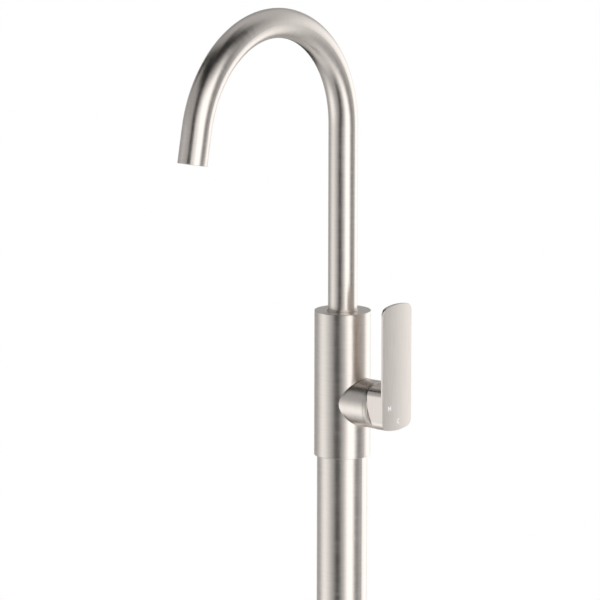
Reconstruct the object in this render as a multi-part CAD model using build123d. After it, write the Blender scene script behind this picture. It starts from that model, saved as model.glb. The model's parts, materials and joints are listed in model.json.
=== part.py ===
from build123d import *
import math
import os

# Floor-standing bath mixer with a gooseneck spout and one side lever, in millimetres.
# Origin on the floor at the column's axis, +Z up, the spout reaches towards -Y and the
# lever's boss points along +X.

# Fits
slide_gap = 0.03
turn_gap = 0.05
seal_gap = 0.02
over = 1.0
groove_slack = 1.0

# Floor plate and cover
plate_radius = 52.0
plate_thickness = 10.0
plate_chamfer = 1.0
bolt_circle_radius = 39.0
bolt_hole_radius = 4.5
bolt_count = 4
spigot_radius = 22.55
spigot_top = 28.0
inlet_spacing = 26.0
inlet_thread_radius = 9.32
inlet_thread_depth = 14.0
hose_thread_radius = 4.5
hose_thread_depth = 10.0
supply_bore_radius = 3.5
column_screw_height = 15.2
column_screw_radius = 2.5
column_screw_bite = 7.0
column_screw_head_radius = 4.0
column_screw_head_height = 2.4
column_screw_key_radius = 1.5
key_depth = 1.4
cover_radius = 58.0
cover_height = 26.0
cover_wall = 2.0
cover_top_thickness = 2.5
cover_edge_radius = 2.5
cover_hub_radius = 30.0
cover_hub_depth = 6.5
cover_hub_step = 0.5
cover_gap = 0.2
cover_seal_height = 22.7

# Column and body sleeve
column_radius = 24.1
column_wall = 1.5
column_seat = 705.0
sleeve_radius = 26.9
sleeve_bottom = 680.5
sleeve_top = 820.0
sleeve_edge = 0.5
sleeve_foot_chamfer = 0.3
body_screw_height = 690.0
body_screw_radius = 2.5
body_screw_angles = (90.0, 180.0)
column_seal_height = 699.0
seal_wire = 1.6

# Side boss and lever axis
lever_axis_height = 734.1
boss_radius = 22.9
boss_front = 42.2
boss_blend = 0.5
pocket_floor = 3.0
pocket_radius = 17.6
nut_thread_radius = 19.5
nut_seat = 33.5
cover_ring_front = 46.8
cover_ring_edge = 1.0
cover_ring_fall = 0.75
cover_ring_bulge = 0.13
cover_ring_bore = 15.5
cover_ring_web = 3.0
cover_ring_mouth = 11.0
cover_ring_spigot = 3.0
cover_ring_seam = 0.25
cover_ring_seam_edge = 0.15

# Water ways in the body
hose_socket_x = -10.0
port_half_spacing = 8.0
inlet_port_drop = 5.0
outlet_port_rise = 9.0
port_radius = 3.0
port_seal_wire = 1.4
port_seal_radius = 4.7
outlet_way_x = -6.0
outlet_way_radius = 4.5
outlet_port_radius = 4.0
spout_socket_floor = 775.0
spout_socket_radius = 11.0
spout_screw_height = 800.0
spout_screw_radius = 2.0
spout_screw_angle = 90.0
spout_screw_clearance = 0.3

# Cartridge, measured along the lever axis from the column's centre line
cartridge_radius = 17.5
base_front = 8.0
base_rim_height = 2.0
base_rim_width = 1.8
disc_split = 11.5
moving_disc_front = 14.5
disc_radius = 13.4
disc_port_radius = 2.6
moving_disc_radius = 10.4
mixing_hollow_radius = 5.6
mixing_hollow_depth = 1.6
mixing_hollow_shift = 2.4
drive_tab_width = 5.0
drive_tab_height = 2.0
drive_tab_shift = -6.5
drive_tab_depth = 0.8
carrier_front = 19.6
carrier_block_front = 26.2
carrier_block_size = 11.0
rotor_back = 20.0
rotor_step = 32.5
rotor_front = 38.5
nut_hole_radius = 1.1
nut_hole_depth = 2.5
nut_hole_count = 6
rotor_radius = 15.2
rotor_neck_radius = 11.9
rotor_seal_x = 36.2
rotor_seal_wire = 1.5
rotor_seal_groove = 2.0
housing_step = 34.0
housing_neck_radius = 14.0
pivot_x = 33.0
pivot_pin_radius = 1.5
pivot_pin_half_length = 11.2
ball_offset = 9.0
ball_radius = 2.5
ball_gap = 0.2
ball_neck_radius = 1.4
disc_travel = 3.15
disc_rest_shift = -disc_travel / 2
stem_size = 8.0
stem_chamfer = 0.4
stem_back = 28.5
stem_front = 61.5
stem_slot_half = 7.2

# Lever
lever_width = 43.4
lever_hub_half = 21.3
lever_hub_back = 47.3
lever_front = 67.15
crown_radius = 300.0
paddle_back = 64.0
paddle_top = 99.85
end_arch_radius = 77.0
corner_radius = 7.7
lever_edge = 0.5
paddle_back_edge = 0.4
hub_edge = 0.25
hub_sunk = 1.2
relief_start = 1.8
relief_angle = 20.0
lever_screw_radius = 2.5
lever_screw_length = 9.0
lever_screw_key = 1.25
lever_screw_key_depth = 2.0
lever_screw_x = 59.5

# Spout
spout_radius = 14.0
spout_wall = 1.4
slip_ring_radius = 15.0
slip_ring_height = 1.5
slip_ring_edge = 0.3
spout_rise = 178.0
arch_radius = 107.4
arch_sweep = 168.6
spout_drop = 32.6
outlet_edge = 0.3
spout_spigot_top = 845.0
spout_spigot_bottom = 778.0
spout_spigot_bore = 8.0
spout_seal_heights = (784.0, 792.0)
spigot_seal_slack = 0.3
spout_lock_groove_depth = 1.6
spout_lock_groove_height = 4.6
aerator_length = 11.0
aerator_recess = 0.8
aerator_face_depth = 0.6
aerator_washer_height = 2.0
aerator_washer_width = 2.5
aerator_thread_radius = 11.0
jet_radius = 0.8
jet_rings = ((3.0, 6), (6.0, 12), (8.6, 16))

# Hoses
hose_radius = 6.0
hose_bore = 4.0
hose_fitting_length = 16.0
hose_hex_height = 7.0
hose_hex_size = 12.6
hose_ferrule_wall = 0.4
hose_barb_length = 12.0
hose_tail_bore = 2.6
hose_bend_heights = (240.0, 470.0)
hose_bend_radius = 1500.0


def rod(radius, low, high, at=(0, 0)):
    place = Pos(at[0], at[1], low)
    return place * Cylinder(radius, high - low, align=(Align.CENTER, Align.CENTER, Align.MIN))


def tube(outer, inner, low, high, at=(0, 0)):
    return rod(outer, low, high, at) - rod(inner, low, high, at)


def block(width, depth, low, high, at=(0, 0)):
    place = Pos(at[0], at[1], low)
    return place * Box(width, depth, high - low, align=(Align.CENTER, Align.CENTER, Align.MIN))


def seal_ring(outer, height, wire=seal_wire):
    return Pos(0, 0, height) * Torus(outer - wire / 2, wire / 2)


# On the lever axis, local x is +Y, local y is +Z and local z is +X
lever_axis = Plane(origin=(0, 0, lever_axis_height), x_dir=(0, 1, 0), z_dir=(1, 0, 0)).location


def radial_rod(radius, height, inner, outer, angle):
    # A rod that points away from the column at the angle
    turned = Rot(0, 0, angle) * Rot(0, 90, 0) * rod(radius, inner, outer)
    return Pos(0, 0, height) * turned


def ring_points(radius, count, start=0.0):
    turns = [math.radians(start + 360.0 * step / count) for step in range(count)]
    return [(radius * math.cos(turn), radius * math.sin(turn)) for turn in turns]


def ring_groove(outer, inner, height, width=seal_wire + groove_slack):
    return tube(outer, inner, height - width / 2, height + width / 2)


def wall_hole(radius, height, angle):
    # A hole through the wall of the column or the sleeve
    return radial_rod(radius, height, column_radius - 2 * column_wall, sleeve_radius + over, angle)


def round_edges(shape, height):
    # The round edges of a turned part at one height
    return [edge for edge in shape.edges().filter_by(GeomType.CIRCLE)
            if abs(edge.center().Z - height) < 1e-3]


# Floor hardware
inlet_places = [(0, -inlet_spacing / 2), (0, inlet_spacing / 2)]
socket_places = [(hose_socket_x, -port_half_spacing), (hose_socket_x, port_half_spacing)]


def make_floor_plate():
    plate = rod(plate_radius, 0, plate_thickness)
    plate = chamfer(round_edges(plate, plate_thickness), plate_chamfer)
    plate += rod(spigot_radius, plate_thickness, spigot_top)
    for place in ring_points(bolt_circle_radius, bolt_count, 45.0):
        plate -= rod(bolt_hole_radius, -over, plate_thickness + over, place)
    for place in inlet_places:
        plate -= rod(inlet_thread_radius, -over, inlet_thread_depth, place)
        plate -= rod(supply_bore_radius, 0, spigot_top + over, place)
        plate -= rod(hose_thread_radius, spigot_top - hose_thread_depth, spigot_top + over, place)
    for angle in (0, 180):
        inner = spigot_radius - column_screw_bite
        plate -= radial_rod(column_screw_radius, column_screw_height, inner, spigot_radius + over, angle)
    return plate


def make_column_screws():
    screws = []
    for angle in (0, 180):
        inner = spigot_radius - column_screw_bite + over
        head_end = column_radius + column_screw_head_height
        shank = radial_rod(column_screw_radius - seal_gap, column_screw_height, inner, column_radius, angle)
        head = radial_rod(column_screw_head_radius, column_screw_height, column_radius, head_end, angle)
        key = radial_rod(column_screw_key_radius, column_screw_height, head_end - key_depth,
                         head_end + over, angle)
        screws.append(shank + head - key)
    return Compound(screws)


def make_cover_flange():
    cover = rod(cover_radius, 0, cover_height)
    cover = fillet(round_edges(cover, cover_height), cover_edge_radius)
    cover -= rod(cover_radius - cover_wall, -over, cover_height - cover_top_thickness)
    cover += rod(cover_hub_radius, cover_height - cover_hub_depth, cover_height - cover_hub_step)
    cover -= rod(column_radius + cover_gap, -over, cover_height + over)
    return cover - ring_groove(column_radius + seal_wire + cover_gap, column_radius - over, cover_seal_height)


def make_flange_seal():
    return seal_ring(column_radius + seal_wire + seal_gap, cover_seal_height)


def make_column():
    column = tube(column_radius, column_radius - column_wall, plate_thickness, column_seat)
    for angle in (0, 180):
        column -= wall_hole(column_screw_radius, column_screw_height, angle)
    for angle in body_screw_angles:
        column -= wall_hole(body_screw_radius, body_screw_height, angle)
    return column


# Hoses
def make_hose(lower, upper):
    start = Vector(lower[0], lower[1], spigot_top + hose_fitting_length)
    end = Vector(upper[0], upper[1], column_seat - hose_fitting_length)
    first_bend = Vector(lower[0], lower[1], hose_bend_heights[0])
    second_bend = Vector(upper[0], upper[1], hose_bend_heights[1])
    route = FilletPolyline(start, first_bend, second_bend, end, radius=hose_bend_radius)
    section = Plane(origin=start, z_dir=(0, 0, 1)) * (Circle(hose_radius) - Circle(hose_bore))
    return sweep(section, path=route)


def make_hose_fitting(place, seat, upward):
    # Ferrule over the hose's end, hexagon, and a threaded tail into the socket
    barb_end = hose_fitting_length + hose_barb_length
    hexagon = extrude(RegularPolygon(hose_hex_size / 2, 6, major_radius=False), hose_hex_height)
    fitting = hexagon + rod(hose_radius + hose_ferrule_wall, hose_hex_height, hose_fitting_length)
    fitting += rod(hose_thread_radius - seal_gap, over - hose_thread_depth, 0)
    fitting += rod(hose_bore - seal_gap, hose_fitting_length, barb_end)
    fitting -= rod(hose_tail_bore, -hose_thread_depth, barb_end + over)
    flats = Rot(0, 0, 30)
    facing = flats if upward else flats * Rot(180, 0, 0)
    return Pos(place[0], place[1], seat) * facing * fitting


def make_hose_fittings(lower, upper):
    return Compound([make_hose_fitting(lower, spigot_top, True),
                     make_hose_fitting(upper, column_seat, False)])


# Mixer body
def make_body():
    sleeve = rod(sleeve_radius, sleeve_bottom, sleeve_top)
    sleeve = fillet(round_edges(sleeve, sleeve_top), sleeve_edge)
    sleeve = chamfer(round_edges(sleeve, sleeve_bottom), sleeve_foot_chamfer)
    boss = rod(boss_radius, 0, boss_front)
    boss = lever_axis * fillet(round_edges(boss, boss_front), cover_ring_seam_edge)
    body = sleeve + boss
    body = fillet(new_edges(sleeve, boss, combined=body), boss_blend)
    body -= rod(column_radius + seal_gap, sleeve_bottom - over, column_seat)
    body -= ring_groove(column_radius + seal_wire + 2 * turn_gap, column_radius - over, column_seal_height)
    body -= lever_axis * rod(pocket_radius, pocket_floor, boss_front + over)
    body -= lever_axis * rod(nut_thread_radius, nut_seat, boss_front + over)
    body -= rod(spout_socket_radius, spout_socket_floor, sleeve_top + over)
    for x, y in socket_places:
        body -= rod(hose_thread_radius, column_seat - over, column_seat + hose_thread_depth, (x, y))
        body -= rod(port_radius, column_seat, lever_axis_height - inlet_port_drop + port_radius, (x, y))
        body -= lever_axis * rod(port_radius, hose_socket_x, pocket_floor + over, (y, -inlet_port_drop))
    outlet_height = lever_axis_height + outlet_port_rise
    outlet_port = rod(outlet_port_radius, outlet_way_x, pocket_floor + over, (0, outlet_port_rise))
    body -= lever_axis * outlet_port
    body -= rod(outlet_way_radius, outlet_height, spout_socket_floor + over, (outlet_way_x, 0))
    for angle in body_screw_angles:
        body -= wall_hole(body_screw_radius, body_screw_height, angle)
    spout_screw_hole = radial_rod(spout_screw_radius, spout_screw_height, 0, sleeve_radius + over,
                                  spout_screw_angle)
    return body - spout_screw_hole


def make_grub_screw(radius, height, inner, outer, angle):
    screw = radial_rod(radius - seal_gap, height, inner, outer, angle)
    key = radial_rod(radius / 2, height, outer - key_depth, outer + over, angle)
    return screw - key


def make_body_screws():
    inner = column_radius - column_wall
    return Compound([make_grub_screw(body_screw_radius, body_screw_height, inner, sleeve_radius - 0.4, angle)
                     for angle in body_screw_angles])


def make_column_seal():
    return seal_ring(column_radius + seal_wire + seal_gap, column_seal_height)


# Cartridge, built along the lever axis
port_places = [(-port_half_spacing, -inlet_port_drop), (port_half_spacing, -inlet_port_drop),
               (0, outlet_port_rise)]

drive_tab_place = (0, disc_rest_shift + drive_tab_shift)


def make_cartridge_base():
    base = rod(cartridge_radius, pocket_floor, base_front)
    base += tube(cartridge_radius - base_rim_width, disc_radius + slide_gap, base_front,
                 base_front + base_rim_height)
    for place in port_places:
        base -= rod(port_radius, pocket_floor - over, base_front + over, place)
        base -= rod(port_seal_radius, pocket_floor - over, pocket_floor + port_seal_wire, place)
    return lever_axis * base


def make_port_seals():
    seals = [Pos(x, y, pocket_floor + port_seal_wire / 2)
             * Torus(port_seal_radius - port_seal_wire / 2, port_seal_wire / 2)
             for x, y in port_places]
    return Compound([lever_axis * seal for seal in seals])


def make_fixed_disc():
    disc = rod(disc_radius, base_front, disc_split)
    for place in port_places:
        disc -= rod(disc_port_radius, base_front - over, disc_split + over, place)
    return lever_axis * disc


def make_moving_disc():
    # A blind hollow in the disc's back joins the inlets to the outlet when it slides
    centre = (0, disc_rest_shift)
    disc = rod(moving_disc_radius, disc_split + slide_gap, moving_disc_front, centre)
    disc -= rod(mixing_hollow_radius, disc_split - over, disc_split + mixing_hollow_depth,
                (0, disc_rest_shift + mixing_hollow_shift))
    disc -= block(drive_tab_width, drive_tab_height, moving_disc_front - drive_tab_depth,
                  moving_disc_front + over, drive_tab_place)
    return lever_axis * disc


def make_disc_carrier():
    centre = (0, disc_rest_shift)
    carrier = rod(moving_disc_radius, moving_disc_front, carrier_front, centre)
    carrier += block(carrier_block_size, carrier_block_size, carrier_front, carrier_block_front)
    carrier += block(drive_tab_width - 2 * turn_gap, drive_tab_height - 2 * turn_gap,
                     moving_disc_front - drive_tab_depth + slide_gap, carrier_front, drive_tab_place)
    ball_floor = pivot_x - ball_offset - ball_radius - 2 * ball_gap
    carrier -= rod(ball_radius + ball_gap, ball_floor, carrier_block_front + over)
    return lever_axis * carrier


def make_rotor():
    rotor = rod(rotor_radius, rotor_back, rotor_step)
    rotor += rod(rotor_neck_radius, rotor_step, rotor_front)
    slot_length = carrier_block_size + disc_travel + 2 * ball_gap
    rotor -= block(carrier_block_size + 2 * turn_gap, slot_length, rotor_back - over,
                   carrier_block_front + 3 * ball_gap, (0, disc_travel / 2))
    rotor -= block(stem_size + 2 * turn_gap, 2 * stem_slot_half, rotor_back - over, rotor_front + over)
    rotor -= Pos(0, 0, pivot_x) * Rot(0, 90, 0) * Cylinder(pivot_pin_radius, 4 * rotor_radius)
    seal_floor = rotor_neck_radius - rotor_seal_wire - 2 * turn_gap
    rotor -= ring_groove(rotor_neck_radius + over, seal_floor, rotor_seal_x, rotor_seal_groove)
    return lever_axis * rotor


def make_rotor_seal():
    return lever_axis * seal_ring(rotor_neck_radius - seal_gap, rotor_seal_x, rotor_seal_wire)


def make_pivot_pin():
    pin = Rot(0, 90, 0) * Cylinder(pivot_pin_radius - seal_gap, 2 * pivot_pin_half_length)
    return lever_axis * (Pos(0, 0, pivot_x) * pin)


def make_housing():
    rim_top = base_front + base_rim_height
    housing = rod(cartridge_radius, base_front, housing_step)
    housing += rod(housing_neck_radius, housing_step, rotor_front)
    housing -= rod(rotor_radius + turn_gap, rim_top, rotor_step + 2 * turn_gap)
    housing -= rod(cartridge_radius - base_rim_width + turn_gap, base_front - over, rim_top)
    housing -= rod(rotor_neck_radius + turn_gap, rotor_step, rotor_front + over)
    return lever_axis * housing


def make_cartridge_nut():
    nut_front = boss_front - cover_ring_spigot
    nut = tube(nut_thread_radius - seal_gap, housing_neck_radius + seal_gap, housing_step, nut_front)
    for place in ring_points((nut_thread_radius + housing_neck_radius) / 2, nut_hole_count):
        nut -= rod(nut_hole_radius, nut_front - nut_hole_depth, nut_front + over, place)
    return lever_axis * nut


def make_cover_ring():
    # Domed a little from the seam to the front, with a mouth in which the lever's stem tips
    seam = boss_front + cover_ring_seam
    spigot_back = boss_front - cover_ring_spigot
    dome = SagittaArc((boss_radius, seam), (boss_radius - cover_ring_fall, cover_ring_front),
                      -cover_ring_bulge)
    outline = make_face(Polyline(dome @ 1, (0, cover_ring_front), (0, seam), dome @ 0) + dome)
    ring = revolve(Plane.XZ * outline, Axis.Z)
    ring = fillet(round_edges(ring, seam), cover_ring_seam_edge)
    ring += rod(nut_thread_radius - seal_gap, spigot_back, seam + cover_ring_seam)
    ring -= rod(cover_ring_bore, spigot_back - over, cover_ring_front - cover_ring_web)
    ring -= rod(cover_ring_mouth, spigot_back, cover_ring_front + over)
    return lever_axis * fillet(round_edges(ring, cover_ring_front), cover_ring_edge)


# Lever
def make_lever_stem():
    stem = block(stem_size, stem_size, stem_back, stem_front)
    stem = chamfer(stem.edges().filter_by(Axis.Z), stem_chamfer)
    ball_x = pivot_x - ball_offset
    stem += rod(ball_neck_radius, ball_x, stem_back)
    stem += Pos(0, 0, ball_x) * Sphere(ball_radius)
    stem -= Pos(0, 0, pivot_x) * Rot(0, 90, 0) * Cylinder(pivot_pin_radius + slide_gap, 2 * stem_size)
    return lever_axis * stem


def rounded_plate(top, bottom, low, high):
    # Flat sides, gently arched ends and rounded corners
    half = lever_width / 2
    side_drop = end_arch_radius - math.sqrt(end_arch_radius ** 2 - half ** 2)
    top_arc = ThreePointArc((-half, top - side_drop), (0, top), (half, top - side_drop))
    bottom_arc = ThreePointArc((half, bottom + side_drop), (0, bottom), (-half, bottom + side_drop))
    right = Line((half, top - side_drop), (half, bottom + side_drop))
    left = Line((-half, bottom + side_drop), (-half, top - side_drop))
    outline = make_face(Curve() + [top_arc, right, bottom_arc, left])
    outline = fillet(outline.vertices(), corner_radius)
    return Pos(0, 0, low) * extrude(outline, high - low)


def make_paddle():
    # The outer face is crowned a little across its width
    paddle = rounded_plate(paddle_top, -lever_hub_half, paddle_back, lever_front + over)
    crown = Rot(90, 0, 0) * Cylinder(crown_radius, 4 * paddle_top)
    paddle &= Pos(0, 0, lever_front - crown_radius) * crown
    crowned_face = paddle.faces().filter_by(GeomType.CYLINDER).sort_by(SortBy.AREA)[-1]
    paddle = fillet(crowned_face.edges(), lever_edge)
    back_face = paddle.faces().sort_by(Axis.Z)[0]
    return fillet(back_face.edges(), paddle_back_edge)


def make_hub():
    # Below the axis the hub's back leans away from the cover ring, so that the lever can tip
    hub = rounded_plate(lever_hub_half, -lever_hub_half, lever_hub_back, paddle_back + hub_sunk)
    reach = relief_start + lever_hub_half + over
    lean = reach * math.tan(math.radians(relief_angle))
    below = relief_start - reach
    behind = lever_hub_back - over
    wedge = Polyline((relief_start, behind), (relief_start, lever_hub_back),
                     (below, lever_hub_back + lean), (below, behind), close=True)
    side_view = Plane(origin=(0, 0, 0), x_dir=(0, 1, 0), z_dir=(1, 0, 0))
    hub -= extrude(side_view * make_face(wedge), lever_width, both=True)
    back_faces = [face for face in hub.faces().filter_by(GeomType.PLANE) if face.normal_at().Z < -0.5]
    fold = [edge.center() for edge in back_faces[0].edges() if abs(edge.center().Y - relief_start) < 1e-3]
    rim = [edge for face in back_faces for edge in face.edges()
           if min((edge.center() - point).length for point in fold) > 1e-3]
    return fillet(rim, hub_edge)


def make_lever():
    lever = make_hub() + make_paddle()
    socket = stem_size + 2 * seal_gap
    lever -= block(socket, socket, lever_hub_back - over, stem_front + stem_chamfer)
    return lever_axis * lever - lever_screw_hole(lever_screw_radius, 2 * lever_hub_half)


def lever_screw_hole(radius, length):
    # Points down from the stem's underside to the bottom of the hub
    top = lever_axis_height - stem_size / 2
    return rod(radius, top - length, top, (lever_screw_x, 0))


def make_lever_screw():
    screw = lever_screw_hole(lever_screw_radius - seal_gap, lever_screw_length)
    bottom = lever_axis_height - stem_size / 2 - lever_screw_length
    key = extrude(RegularPolygon(lever_screw_key, 6, major_radius=False), lever_screw_key_depth)
    return screw - Pos(lever_screw_x, 0, bottom) * key


# Spout
def make_slip_ring():
    ring_top = sleeve_top + slip_ring_height
    ring = rod(slip_ring_radius, sleeve_top, ring_top)
    ring = fillet(ring.edges().filter_by(GeomType.CIRCLE), slip_ring_edge)
    return ring - rod(spout_socket_radius + 2 * turn_gap, sleeve_top - over, ring_top + over)


def spout_end():
    # The outlet's centre and the way the water leaves
    turn = math.radians(arch_sweep)
    way = Vector(0, -math.sin(turn), math.cos(turn))
    bend_end = Vector(0, -arch_radius + arch_radius * math.cos(turn),
                      sleeve_top + spout_rise + arch_radius * math.sin(turn))
    return bend_end, way


def make_spout_tube():
    foot = sleeve_top + slip_ring_height + turn_gap
    bend = sleeve_top + spout_rise
    bend_end, way = spout_end()
    section = Circle(spout_radius) - Circle(spout_radius - spout_wall)
    riser = tube(spout_radius, spout_radius - spout_wall, foot, bend)
    arch_axis = Axis((0, -arch_radius, bend), (1, 0, 0))
    arch = revolve(Pos(0, 0, bend) * section, arch_axis, arch_sweep)
    drop = fillet(round_edges(rod(spout_radius, 0, spout_drop), spout_drop), outlet_edge)
    drop -= rod(spout_radius - spout_wall, -over, spout_drop + over)
    return riser + arch + Plane(origin=bend_end, z_dir=way).location * drop


def make_spout_spigot():
    inner_radius = spout_radius - spout_wall - seal_gap
    foot = sleeve_top + slip_ring_height + turn_gap
    spigot = rod(inner_radius, foot, spout_spigot_top)
    spigot += rod(spout_socket_radius - turn_gap, spout_spigot_bottom, foot)
    spigot = chamfer(round_edges(spigot, spout_spigot_bottom), 0.6)
    outer = spout_socket_radius + over
    for height in spout_seal_heights:
        spigot -= ring_groove(outer, spout_socket_radius - seal_wire - spigot_seal_slack, height)
    lock_floor = spout_socket_radius - spout_lock_groove_depth
    spigot -= ring_groove(outer, lock_floor, spout_screw_height, spout_lock_groove_height)
    return spigot - rod(spout_spigot_bore, spout_spigot_bottom - over, spout_spigot_top + over)


def make_spout_seals():
    return Compound([seal_ring(spout_socket_radius - seal_gap, height) for height in spout_seal_heights])


def make_spout_screw():
    tip = spout_socket_radius - spout_lock_groove_depth + spout_screw_clearance
    return make_grub_screw(spout_screw_radius, spout_screw_height, tip, sleeve_radius - 1.0,
                           spout_screw_angle)


def outlet_place(depth):
    # A place on the outlet's axis, this far inside the cut end, facing out of the spout
    bend_end, way = spout_end()
    return Plane(origin=bend_end + way * (spout_drop - depth), x_dir=(1, 0, 0), z_dir=way).location


def make_aerator_holder():
    ring = tube(spout_radius - spout_wall - seal_gap, aerator_thread_radius, 0, aerator_length)
    return outlet_place(aerator_length + aerator_recess) * ring


def make_aerator_insert():
    insert = rod(aerator_thread_radius - seal_gap, aerator_washer_height, aerator_length - aerator_face_depth)
    for radius, count in jet_rings:
        for place in ring_points(radius, count):
            insert -= rod(jet_radius, over, aerator_length, place)
    return outlet_place(aerator_length + aerator_recess) * insert


def make_aerator_washer():
    washer = tube(aerator_thread_radius - seal_gap, aerator_thread_radius - aerator_washer_width, 0.2,
                  aerator_washer_height)
    return outlet_place(aerator_length + aerator_recess) * washer


parts = {
    "floor_plate": make_floor_plate(),
    "column_screws": make_column_screws(),
    "cover_flange": make_cover_flange(),
    "flange_seal": make_flange_seal(),
    "column_tube": make_column(),
    "hot_hose": make_hose(inlet_places[0], socket_places[0]),
    "cold_hose": make_hose(inlet_places[1], socket_places[1]),
    "hot_hose_fittings": make_hose_fittings(inlet_places[0], socket_places[0]),
    "cold_hose_fittings": make_hose_fittings(inlet_places[1], socket_places[1]),
    "mixer_body": make_body(),
    "body_lock_screws": make_body_screws(),
    "column_seal": make_column_seal(),
    "cartridge_base": make_cartridge_base(),
    "port_seals": make_port_seals(),
    "fixed_disc": make_fixed_disc(),
    "cartridge_housing": make_housing(),
    "cartridge_nut": make_cartridge_nut(),
    "cover_ring": make_cover_ring(),
    "cartridge_rotor": make_rotor(),
    "rotor_seal": make_rotor_seal(),
    "pivot_pin": make_pivot_pin(),
    "moving_disc": make_moving_disc(),
    "disc_carrier": make_disc_carrier(),
    "lever_stem": make_lever_stem(),
    "lever": make_lever(),
    "lever_grub_screw": make_lever_screw(),
    "slip_ring": make_slip_ring(),
    "spout_tube": make_spout_tube(),
    "spout_spigot": make_spout_spigot(),
    "spout_seals": make_spout_seals(),
    "spout_lock_screw": make_spout_screw(),
    "aerator_holder": make_aerator_holder(),
    "aerator_insert": make_aerator_insert(),
    "aerator_washer": make_aerator_washer(),
}

os.makedirs("parts", exist_ok=True)
for name, shape in parts.items():
    export_step(shape, f"parts/{name}.step")
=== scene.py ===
import json
import math

import bmesh
import bpy
from mathutils import Matrix, Vector


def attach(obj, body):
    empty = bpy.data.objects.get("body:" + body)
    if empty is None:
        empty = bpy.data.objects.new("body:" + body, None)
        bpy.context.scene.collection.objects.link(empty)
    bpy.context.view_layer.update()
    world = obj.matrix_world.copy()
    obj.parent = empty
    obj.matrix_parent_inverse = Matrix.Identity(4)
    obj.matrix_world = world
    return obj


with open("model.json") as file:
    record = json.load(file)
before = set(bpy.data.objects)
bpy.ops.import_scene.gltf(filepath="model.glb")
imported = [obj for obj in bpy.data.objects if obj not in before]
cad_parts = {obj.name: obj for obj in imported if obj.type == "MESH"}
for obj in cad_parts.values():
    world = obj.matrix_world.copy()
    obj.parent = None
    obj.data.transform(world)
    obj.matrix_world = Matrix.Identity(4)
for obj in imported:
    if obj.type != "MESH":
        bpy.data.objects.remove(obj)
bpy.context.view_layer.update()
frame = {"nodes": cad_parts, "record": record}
nodes = frame["nodes"]
print("stage 1: frame loaded,", len(nodes), "nodes")


# Shader maths: a wire is a node's output that takes part in sums and products
class Wire:
    def __init__(self, recipe, socket):
        self.recipe = recipe
        self.socket = socket

    def math(self, operation, *others):
        values = dict(enumerate((self,) + others))
        return self.recipe.add("ShaderNodeMath", {"operation": operation}, values)

    def __add__(self, other):
        return self.math("ADD", other)

    __radd__ = __add__

    def __mul__(self, other):
        return self.math("MULTIPLY", other)

    __rmul__ = __mul__

    def __sub__(self, other):
        return self.math("SUBTRACT", other)

    def __rsub__(self, other):
        return self.recipe.add("ShaderNodeMath", {"operation": "SUBTRACT"}, {0: other, 1: self})

    def __truediv__(self, other):
        return self.math("DIVIDE", other)

    def __pow__(self, other):
        return self.math("POWER", other)

    def __abs__(self):
        return self.math("ABSOLUTE")

    def step(self, low, high):
        # A soft step from 0 at low to 1 at high
        return self.recipe.add("ShaderNodeMapRange", {"interpolation_type": "SMOOTHSTEP"},
                               {"Value": self, "From Min": low, "From Max": high})

    def mix(self, zero, one):
        # The value at 0 and at 1 of this wire; sockets 6 and 7 take colours, and output 2 gives one
        if any(isinstance(value, (tuple, list)) for value in (zero, one)):
            return self.recipe.add("ShaderNodeMix", {"data_type": "RGBA"}, {0: self, 6: zero, 7: one}, 2)
        return self.recipe.add("ShaderNodeMix", {}, {0: self, 2: zero, 3: one})


class Recipe:
    def __init__(self, tree):
        self.tree = tree
        tree.nodes.clear()

    def add(self, kind, settings=None, values=None, output=0):
        # A node with its settings, then the values or links of its sockets
        node = self.tree.nodes.new(kind)
        for name, value in (settings or {}).items():
            setattr(node, name, value)
        for name, value in (values or {}).items():
            if isinstance(value, Wire):
                self.tree.links.new(value.socket, node.inputs[name])
            else:
                node.inputs[name].default_value = value
        return Wire(self, node.outputs[output]) if len(node.outputs) else node

    def split(self, vector):
        parts = self.add("ShaderNodeSeparateXYZ", {}, {0: vector})
        return [Wire(self, output) for output in parts.socket.node.outputs]

    def join(self, x, y, z):
        return self.add("ShaderNodeCombineXYZ", {}, {0: x, 1: y, 2: z})

    def place(self):
        # Where a point lies on the piece, in metres
        return self.add("ShaderNodeTexCoord", output="Object")

    def noise(self, vector, scale, detail):
        return self.add("ShaderNodeTexNoise", {}, {"Vector": vector, "Scale": scale, "Detail": detail})


def rgb(red, green, blue):
    return (red, green, blue, 1.0)


def shaded(tint, share):
    # A tint brought down to this share of its light
    return rgb(*[share * part for part in tint])


def newMaterial(name, build):
    material = bpy.data.materials.new(name)
    material.use_nodes = True
    recipe = Recipe(material.node_tree)
    surface = build(recipe)
    recipe.add("ShaderNodeOutputMaterial", {}, {"Surface": surface})
    return material


# Camera: a long lens at the photograph's angle, from well above the spout
camera = {
    "place": (3.5083, -4.3372, 1.8970),
    "forward": (-0.62321, 0.75914, -0.18798),
    "roll": 0.104,
    "lens": 360.0,
    "sensor": 36.0,
    "clip": (0.1, 100.0),
}


def makeCamera():
    data = bpy.data.cameras.new("camera")
    data.lens = camera["lens"]
    data.sensor_width = camera["sensor"]
    data.clip_start, data.clip_end = camera["clip"]
    forward = Vector(camera["forward"]).normalized()
    right = forward.cross(Vector((0, 0, 1))).normalized()
    up = right.cross(forward)
    roll = math.radians(camera["roll"])
    rolledRight = right * math.cos(roll) + up * math.sin(roll)
    rolledUp = up * math.cos(roll) - right * math.sin(roll)
    turn = Matrix((rolledRight, rolledUp, -forward)).transposed().to_4x4()
    eye = bpy.data.objects.new("camera", data)
    eye.matrix_world = Matrix.Translation(camera["place"]) @ turn
    bpy.context.scene.collection.objects.link(eye)
    bpy.context.scene.camera = eye


makeCamera()
print("stage 2: camera")


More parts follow.
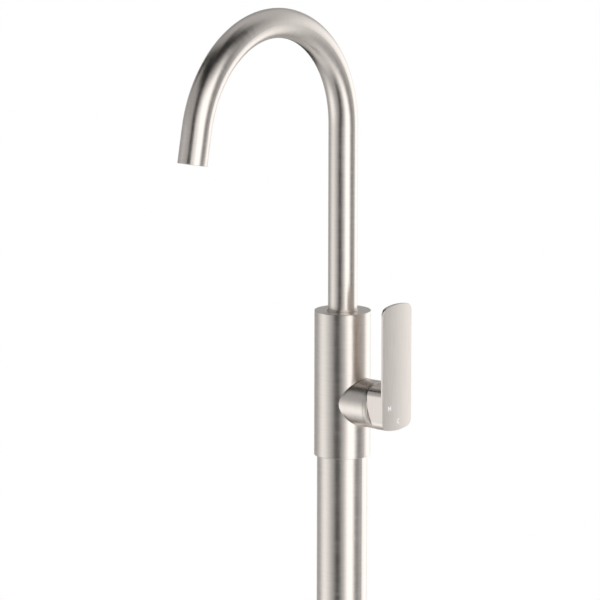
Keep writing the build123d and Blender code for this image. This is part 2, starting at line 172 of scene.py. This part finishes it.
# Studio: white surroundings, a pale floor and a tent of soft cards that only reflections see
studio = {
    "fill": 0.80,              # what the surroundings give to matt surfaces
    "floorShade": 0.82,
    "floorReach": 40.0,        # metres from the column to each side
    "floorGap": 0.0003,        # the floor lies this far under the base
    "floorNear": 0.004,        # and is clear to rays that start this close, so that the underside is lit
    "floorFade": (0.7, 1.6),   # metres from the column where the floor turns to plain white
    "floorSeen": (0.25, 0.55),  # metres from the column where the metal stops seeing the floor
    "lampPlace": (3.2, -1.3, 2.9),
    "lampAim": (0, 0, 0.7),
    "lampSize": 1.6,
    "lampPower": 40.0,
}

tent = {
    "radius": 20.0,
    "height": 0.85,            # of its middle
    "level": 0.42,             # the bare cloth's glow
    "facesRound": 128,
    "facesHigh": 64,
}

# Each card: degrees to the camera's right of its left and right edges, and the height in degrees of
# its bottom and top, each with the width over which it fades. A lean slants a side edge, in degrees
# to the right for each degree up. Later cards hang in front of earlier ones.
cards = {
    "floorGlow": {"top": -66, "topSoft": 10, "glow": 0.60},
    "rightFloor": {"left": 10, "right": 95, "leftSoft": 50, "rightSoft": 30,
                   "top": -50, "topSoft": 10, "glow": 0.70},
    "backWall": {"left": 105, "right": 205, "leftSoft": 10, "rightSoft": 10,
                 "bottom": 25, "bottomSoft": 10, "top": 72, "topSoft": 10, "glow": 0.54},
    "leftLight": {"left": -106, "right": -62, "leftSoft": 40, "rightSoft": 50,
                  "bottom": -46, "bottomSoft": 40, "top": -4, "topSoft": 40, "glow": 1.32},
    "softbox": {"left": 10, "right": 54, "leftSoft": 24, "rightSoft": 5,
                "leftLean": -0.4, "rightLean": 0.05,
                "bottom": -47, "bottomSoft": 50, "top": 36, "topSoft": 24, "glow": 1.55},
    "rightShade": {"left": 64, "right": 81, "leftSoft": 5, "rightSoft": 5,
                   "leftLean": 0.15, "rightLean": 0.1, "bottom": -28, "bottomSoft": 10, "glow": 0.18},
    "backLight": {"left": 105, "right": 148, "leftSoft": 36, "rightSoft": 10,
                  "bottom": -38, "bottomSoft": 40, "top": 16, "topSoft": 50, "glow": 1.5},
    "backStrip": {"left": 140, "right": 200, "leftSoft": 10, "rightSoft": 10,
                  "bottom": -18, "bottomSoft": 5, "top": 4, "topSoft": 10, "glow": 1.1},
    "backShelf": {"left": 170, "right": 208, "leftSoft": 10, "rightSoft": 10,
                  "bottom": 12, "bottomSoft": 5, "top": 38, "topSoft": 10, "glow": 0.34},
    "darkSeam": {"left": -40, "right": -15, "leftSoft": 5, "rightSoft": 5,
                 "leftLean": -0.3, "rightLean": -0.25, "bottom": -12, "bottomSoft": 5, "glow": 0.0},
    "lowerSeam": {"left": -39, "right": -15, "leftSoft": 5, "rightSoft": 5,
                  "leftLean": -0.45, "rightLean": -0.55,
                  "bottom": -54, "bottomSoft": 5, "top": -8, "topSoft": 5, "glow": 0.0},
    "frontGlow": {"left": -16, "right": 12, "leftSoft": 5, "rightSoft": 5,
                  "bottom": 2, "bottomSoft": 5, "top": 19, "topSoft": 5, "glow": 1.1},
    "leftCeiling": {"left": -112, "right": -16, "leftSoft": 10, "rightSoft": 10,
                    "bottom": 41, "bottomSoft": 5, "top": 72, "topSoft": 5, "glow": 0.0},
    "backSeam": {"left": -162, "right": -141, "leftSoft": 5, "rightSoft": 5,
                 "leftLean": 0.7, "rightLean": 0.65,
                 "bottom": 13, "bottomSoft": 5, "top": 64, "topSoft": 5, "glow": 0.0},
    "backShade": {"left": -197, "right": -173, "leftSoft": 5, "rightSoft": 5,
                  "leftLean": -0.75, "rightLean": -0.75,
                  "bottom": -53, "bottomSoft": 5, "top": -18, "topSoft": 5, "glow": 0.0},
    "overhead": {"bottom": 76, "bottomSoft": 10, "glow": 0.1},
    "ceiling": {"left": -80, "right": 95, "leftSoft": 60, "rightSoft": 40,
                "bottom": 54, "bottomSoft": 10, "glow": 0.0},
    "rightCeiling": {"left": 56, "right": 90, "leftSoft": 10, "rightSoft": 26,
                     "bottom": 36, "bottomSoft": 20, "top": 77, "topSoft": 10, "glow": 0.0},
}


def softEdge(wire, place, width):
    # Rises from 0 to 1 over this width about the place
    return wire.step(place - width / 2, place + width / 2)


def cardCover(card, side, height):
    # How far a card covers a direction, from 0 to 1
    covers = []
    if "left" in card:
        middle = (card["left"] + card["right"]) / 2
        offset = (side - middle).math("WRAP", 180.0, -180.0)
        fromLeft = offset - height * card.get("leftLean", 0.0)
        fromRight = offset - height * card.get("rightLean", 0.0)
        covers.append(softEdge(fromLeft, card["left"] - middle, card["leftSoft"]))
        covers.append(1 - softEdge(fromRight, card["right"] - middle, card["rightSoft"]))
    if "bottom" in card:
        covers.append(softEdge(height, card["bottom"], card["bottomSoft"]))
    if "top" in card:
        covers.append(1 - softEdge(height, card["top"], card["topSoft"]))
    return math.prod(covers)


def tentGlow(recipe):
    # Directions are counted from where the camera stands, in degrees to its right and up
    x, y, z = recipe.split(recipe.place())
    towardsCamera = -Vector(camera["forward"])
    facing = math.degrees(math.atan2(towardsCamera.y, towardsCamera.x))
    side = y.math("ARCTAN2", x) * math.degrees(1) - facing
    height = z.math("ARCTAN2", (x * x + y * y) ** 0.5) * math.degrees(1)
    level = tent["level"]
    for card in cards.values():
        level = cardCover(card, side, height).mix(level, card["glow"])
    return recipe.add("ShaderNodeEmission", {}, {"Color": level, "Strength": 1.0})


def makeTent():
    mesh = bpy.data.meshes.new("tent")
    ball = bmesh.new()
    bmesh.ops.create_uvsphere(ball, u_segments=tent["facesRound"], v_segments=tent["facesHigh"],
                              radius=tent["radius"])
    ball.to_mesh(mesh)
    ball.free()
    shell = bpy.data.objects.new("tent", mesh)
    shell.location = (0, 0, tent["height"])
    bpy.context.scene.collection.objects.link(shell)
    material = newMaterial("tentCloth", tentGlow)
    material.cycles.emission_sampling = "NONE"
    mesh.materials.append(material)
    for kind in ("camera", "diffuse", "transmission", "volume_scatter", "shadow"):
        setattr(shell, "visible_" + kind, False)


def raysOf(recipe, *kinds):
    # 1 for rays of these kinds and 0 for others
    seen = recipe.add("ShaderNodeLightPath", output=kinds[0])
    for kind in kinds[1:]:
        seen = seen.math("MAXIMUM", recipe.add("ShaderNodeLightPath", output=kind))
    return seen


def floorPaint(recipe):
    # Matt near the column, plain white further out, and clear from below and to far reflections
    x, y, z = recipe.split(recipe.place())
    out = (x * x + y * y) ** 0.5
    matt = recipe.add("ShaderNodeBsdfDiffuse", {}, {"Color": shaded((1, 1, 1), studio["floorShade"])})
    white = recipe.add("ShaderNodeEmission", {}, {"Color": rgb(1, 1, 1), "Strength": 1.0})
    clear = recipe.add("ShaderNodeBsdfTransparent")
    far = out.step(*studio["floorFade"]) * raysOf(recipe, "Is Camera Ray", "Is Transmission Ray")
    unseen = out.step(*studio["floorSeen"]) * raysOf(recipe, "Is Glossy Ray")
    under = recipe.add("ShaderNodeNewGeometry", output="Backfacing")
    near = recipe.add("ShaderNodeLightPath", output="Ray Length").math("LESS_THAN", studio["floorNear"])
    hidden = under.math("MAXIMUM", unseen).math("MAXIMUM", near)
    shown = recipe.add("ShaderNodeMixShader", {}, {0: far, 1: matt, 2: white})
    return recipe.add("ShaderNodeMixShader", {}, {0: hidden, 1: shown, 2: clear})


def makeFloor():
    reach = studio["floorReach"]
    mesh = bpy.data.meshes.new("floor")
    corners = [(-reach, -reach, 0), (reach, -reach, 0), (reach, reach, 0), (-reach, reach, 0)]
    mesh.from_pydata(corners, [], [(0, 1, 2, 3)])
    floor = bpy.data.objects.new("floor", mesh)
    floor.location = (0, 0, -studio["floorGap"])
    bpy.context.scene.collection.objects.link(floor)
    mesh.materials.append(newMaterial("floorPaint", floorPaint))


def makeWorld():
    world = bpy.data.worlds.new("studio")
    world.use_nodes = True
    recipe = Recipe(world.node_tree)
    seen = raysOf(recipe, "Is Camera Ray", "Is Glossy Ray", "Is Transmission Ray")
    strength = seen.mix(studio["fill"], 1.0)
    sky = recipe.add("ShaderNodeBackground", {}, {"Color": rgb(1, 1, 1), "Strength": strength})
    recipe.add("ShaderNodeOutputWorld", {}, {"Surface": sky})
    world.cycles.sampling_method = "NONE"
    bpy.context.scene.world = world


def makeLamp():
    data = bpy.data.lights.new("softLamp", "AREA")
    data.shape = "DISK"
    data.size = studio["lampSize"]
    data.energy = studio["lampPower"]
    lamp = bpy.data.objects.new("softLamp", data)
    lamp.location = studio["lampPlace"]
    aim = Vector(studio["lampAim"]) - lamp.location
    lamp.rotation_euler = aim.to_track_quat("-Z", "Y").to_euler()
    lamp.visible_glossy = False
    bpy.context.scene.collection.objects.link(lamp)


makeWorld()
makeFloor()
makeTent()
makeLamp()
bpy.context.scene.view_settings.view_transform = "Standard"
print("stage 3: studio")


# Finishes
nickel = {
    "tint": (0.82, 0.765, 0.715),
    "dull": 0.92,            # the tint's share left in the duller strokes
    "contrast": (0.3, 0.7),  # grain at which a stroke is fully dull and fully bright
    "roughness": 0.285,
    "roughSpread": 0.3,      # how much rougher one patch of strokes is than the next
    "roughLeast": 0.276,
    "lineWidth": 0.0003,     # fine brushed lines, this far apart in metres
    "lineLength": 0.015,
    "lineDetail": 1.0,
    "paddleLength": 0.03,    # on the lever's flat face
    "cloudWidth": 0.0016,    # a faint unevenness of the brushing, as long as its lines
    "cloudDetail": 2.0,
    "cloudShare": 0.6,       # of the grain
    "bump": 0.05,
    "relief": 0.0001,
}
bend = {"radius": 0.1074, "height": 0.998}    # the spout's arch and the height of its middle
boss = {"height": 0.7341, "start": 0.0274}    # its axis, and where it leaves the sleeve
# Painted shade: a dark line painted into the body's colour round the root of the boss, deepest where the joint
# is deep
crease = {
    "place": 0.0281,          # this far from the column's axis a line of painted shade runs round the root of the boss
    "width": 0.0012,          # to each side
    "start": (0.006, 0.014),  # above and below the boss's middle, where the joint gets deep
    "shade": 0.45,
}


def aboutColumn(recipe):
    # Lines round the column: height and radius change from line to line, x and y run along them
    x, y, z = recipe.split(recipe.place())
    return z + (x * x + y * y) ** 0.5, x, y


def aboutBoss(recipe):
    # The same round the boss's axis
    x, y, z = recipe.split(recipe.place())
    up = z - boss["height"]
    return x + (y * y + up * up) ** 0.5, y, up


def aboutBody(recipe):
    # The sleeve's lines go round the column and the boss's lines round the boss
    x, y, z = recipe.split(recipe.place())
    onBoss = ((x * x + y * y) ** 0.5).math("GREATER_THAN", boss["start"])
    return [onBoss.mix(first, second) for first, second in zip(aboutColumn(recipe), aboutBoss(recipe))]


def creaseShade(recipe):
    # Painted shade: darker in a thin line round the root of the boss, in the crease where it meets the sleeve
    x, y, z = recipe.split(recipe.place())
    outside = abs((x * x + y * y) ** 0.5 - crease["place"]).step(crease["width"] / 3, crease["width"])
    deep = abs(z - boss["height"]).step(*crease["start"])
    return outside.math("MAXIMUM", 1 - deep)


def alongPaddle(recipe):
    # Upright lines on the paddle
    x, y, z = recipe.split(recipe.place())
    along = z * (nickel["lineLength"] / nickel["paddleLength"])
    return y + x, along, along


def alongSpout(recipe):
    # Height up the riser, then the length of the bend
    x, y, z = recipe.split(recipe.place())
    outward = y + bend["radius"]
    upward = z - bend["height"]
    inBend = upward.math("GREATER_THAN", 0.0).math("MAXIMUM", outward.math("LESS_THAN", 0.0))
    arc = upward.math("ARCTAN2", outward) * bend["radius"]
    return inBend.mix(upward, arc), x, (outward * outward + upward * upward) ** 0.5


def principled(recipe, colour, metallic, roughness, relief):
    values = {"Base Color": colour, "Metallic": metallic, "Roughness": roughness, "Normal": relief}
    return recipe.add("ShaderNodeBsdfPrincipled", {}, values)


def bumps(recipe, height, strength, distance):
    return recipe.add("ShaderNodeBump", {}, {"Height": height, "Strength": strength, "Distance": distance})


def brushedNickel(name, lines, shade=None):
    def build(recipe):
        across, alongOne, alongTwo = lines(recipe)
        length = nickel["lineLength"]

        def grainOf(width, detail):
            return recipe.noise(recipe.join(across / width, alongOne / length, alongTwo / length), 1.0, detail)

        strokes = grainOf(nickel["lineWidth"], nickel["lineDetail"])
        clouds = grainOf(nickel["cloudWidth"], nickel["cloudDetail"])
        grain = strokes * (1 - nickel["cloudShare"]) + clouds * nickel["cloudShare"]
        tint = nickel["tint"]
        colour = grain.step(*nickel["contrast"]).mix(shaded(tint, nickel["dull"]), rgb(*tint))
        # Painted shade: the tint is brought down where the mask falls to 0, in the crease round the boss's
        # root
        if shade:
            colour = shade(recipe).mix(shaded(tint, crease["shade"]), colour)
        rough = nickel["roughness"] + (clouds - 0.5) * nickel["roughSpread"]
        rough = rough.math("MAXIMUM", nickel["roughLeast"])
        relief = bumps(recipe, strokes, nickel["bump"], nickel["relief"])
        return principled(recipe, colour, 1.0, rough, relief)
    return newMaterial(name, build)


# Turned, moulded, lapped or painted parts have a fine mottle of their own grain's size in metres
mottled = {"detail": 3.0, "contrast": (0.25, 0.75), "roughSpread": 0.15, "relief": 0.0002}


def plainFinish(name, tint, metallic, roughness, grain, bump, dull=0.88):
    def build(recipe):
        mottle = recipe.noise(recipe.place(), 1.0 / grain, mottled["detail"])
        colour = mottle.step(*mottled["contrast"]).mix(shaded(tint, dull), rgb(*tint))
        rough = roughness + (mottle - 0.5) * mottled["roughSpread"]
        relief = bumps(recipe, mottle, bump, mottled["relief"])
        return principled(recipe, colour, metallic, rough, relief)
    return newMaterial(name, build)


# The hoses' steel braid, drawn as slanting bands
braid = {
    "gap": rgb(0.30, 0.30, 0.31),
    "wire": rgb(0.62, 0.62, 0.63),
    "roughness": 0.35,
    "fineness": 260.0,
    "bump": 0.6,
    "relief": 0.0004,
}


def braidedWire(recipe):
    weave = recipe.add("ShaderNodeTexWave", {"wave_type": "BANDS", "bands_direction": "DIAGONAL"},
                       {"Vector": recipe.place(), "Scale": braid["fineness"], "Distortion": 0.0})
    relief = bumps(recipe, weave, braid["bump"], braid["relief"])
    return principled(recipe, weave.mix(braid["gap"], braid["wire"]), 1.0, braid["roughness"], relief)


# One finish for each of the record's slots; a plain one has tint, metallic, roughness, grain and bump
finishes = {
    "brushed_nickel": brushedNickel("brushedNickelColumn", aboutColumn),
    "brass": plainFinish("turnedBrass", (0.72, 0.56, 0.30), 1.0, 0.32, 0.0012, 0.15),
    "stainless": plainFinish("milledSteel", (0.60, 0.60, 0.60), 1.0, 0.34, 0.001, 0.15),
    "hose_braid": newMaterial("braidedWire", braidedWire),
    "black_rubber": plainFinish("sealRubber", (0.03, 0.03, 0.03), 0.0, 0.6, 0.0006, 0.2),
    "white_ceramic": plainFinish("lappedCeramic", (0.88, 0.87, 0.84), 0.0, 0.25, 0.002, 0.05),
    "grey_plastic": plainFinish("mouldedPlastic", (0.42, 0.43, 0.44), 0.0, 0.5, 0.0008, 0.15),
}

# Nickel pieces whose brushed lines run another way than round the column
ownLines = {
    "spout_tube": brushedNickel("brushedNickelSpout", alongSpout),
    # The body's finish carries the painted crease shade round the boss's root
    "mixer_body": brushedNickel("brushedNickelBody", aboutBody, creaseShade),
    "cover_ring": brushedNickel("brushedNickelRing", aboutBoss),
    "lever": brushedNickel("brushedNickelLever", alongPaddle),
}

for part in frame["record"]["subparts"]:
    name = part["node"]
    cadPart = nodes[name]
    finish = ownLines.get(name, finishes[part["material_slot"]])
    cadPart.data.materials.clear()
    cadPart.data.materials.append(finish)
print("stage 4: finishes")


# The hot and cold marks: thin raised strokes of white paint on the lever's crowned face
marks = {
    "height": 0.0046,
    "width": 0.0042,
    "stroke": 0.0012,
    "proud": 0.00003,
    "sunk": 0.00003,
    "hot": (-0.0120, 0.0011),    # sideways and up from the lever's axis
    "cold": (0.0010, -0.0127),
    "roundOver": 1.07,           # the round letter stands this much taller
    "mouth": 50.0,               # degrees from level to each end of the round letter
    "roundSteps": 24,
    "faceFront": 0.06715,
    "crownRadius": 0.300,
}


def faceDepth(sideways):
    # How far out the crowned face lies at this distance from its middle
    return marks["faceFront"] - sideways ** 2 / (2 * marks["crownRadius"])


def addStroke(paint, stations, place):
    # A closed strip through pairs of points, one on each edge of the stroke
    rings = []
    for pair in stations:
        spots = [(place[0] + sideways, boss["height"] + place[1] + up) for sideways, up in pair]
        front = [paint.verts.new((faceDepth(y) + marks["proud"], y, z)) for y, z in spots]
        back = [paint.verts.new((faceDepth(y) - marks["sunk"], y, z)) for y, z in spots]
        rings.append(front + back[::-1])
    for ring, following in zip(rings, rings[1:]):
        for first, second in ((0, 1), (1, 2), (2, 3), (3, 0)):
            paint.faces.new((ring[first], ring[second], following[second], following[first]))
    paint.faces.new(rings[0])
    paint.faces.new(rings[-1])


def makeMark(name, strokes, place):
    mesh = bpy.data.meshes.new(name)
    paint = bmesh.new()
    for stations in strokes:
        addStroke(paint, stations, place)
    bmesh.ops.recalc_face_normals(paint, faces=paint.faces)
    paint.to_mesh(mesh)
    paint.free()
    mark = bpy.data.objects.new(name, mesh)
    bpy.context.scene.collection.objects.link(mark)
    mesh.materials.append(markPaint)
    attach(mark, "lever")


def bar(left, right, bottom, top):
    return [((left, bottom), (left, top)), ((right, bottom), (right, top))]


def letterH():
    half, tall, stroke = marks["width"] / 2, marks["height"] / 2, marks["stroke"]
    return [bar(-half, -half + stroke, -tall, tall), bar(half - stroke, half, -tall, tall),
            bar(-half + stroke, half - stroke, -stroke / 2, stroke / 2)]


def letterC():
    # One stroke along an oval, from its upper end round the left to its lower end
    count = marks["roundSteps"]
    tall = marks["height"] / 2 * marks["roundOver"]
    squeeze = marks["width"] / 2 / tall
    stations = []
    for step in range(count + 1):
        turn = math.radians(marks["mouth"] + (360 - 2 * marks["mouth"]) * step / count)
        radii = (tall, tall - marks["stroke"])
        stations.append([(radius * squeeze * math.cos(turn), radius * math.sin(turn)) for radius in radii])
    return [stations]


markPaint = plainFinish("whiteMarkPaint", (0.98, 0.98, 0.97), 0.0, 0.5, 0.0004, 0.05, 0.96)
makeMark("hot_mark", letterH(), marks["hot"])
makeMark("cold_mark", letterC(), marks["cold"])
print("stage 5: marks")
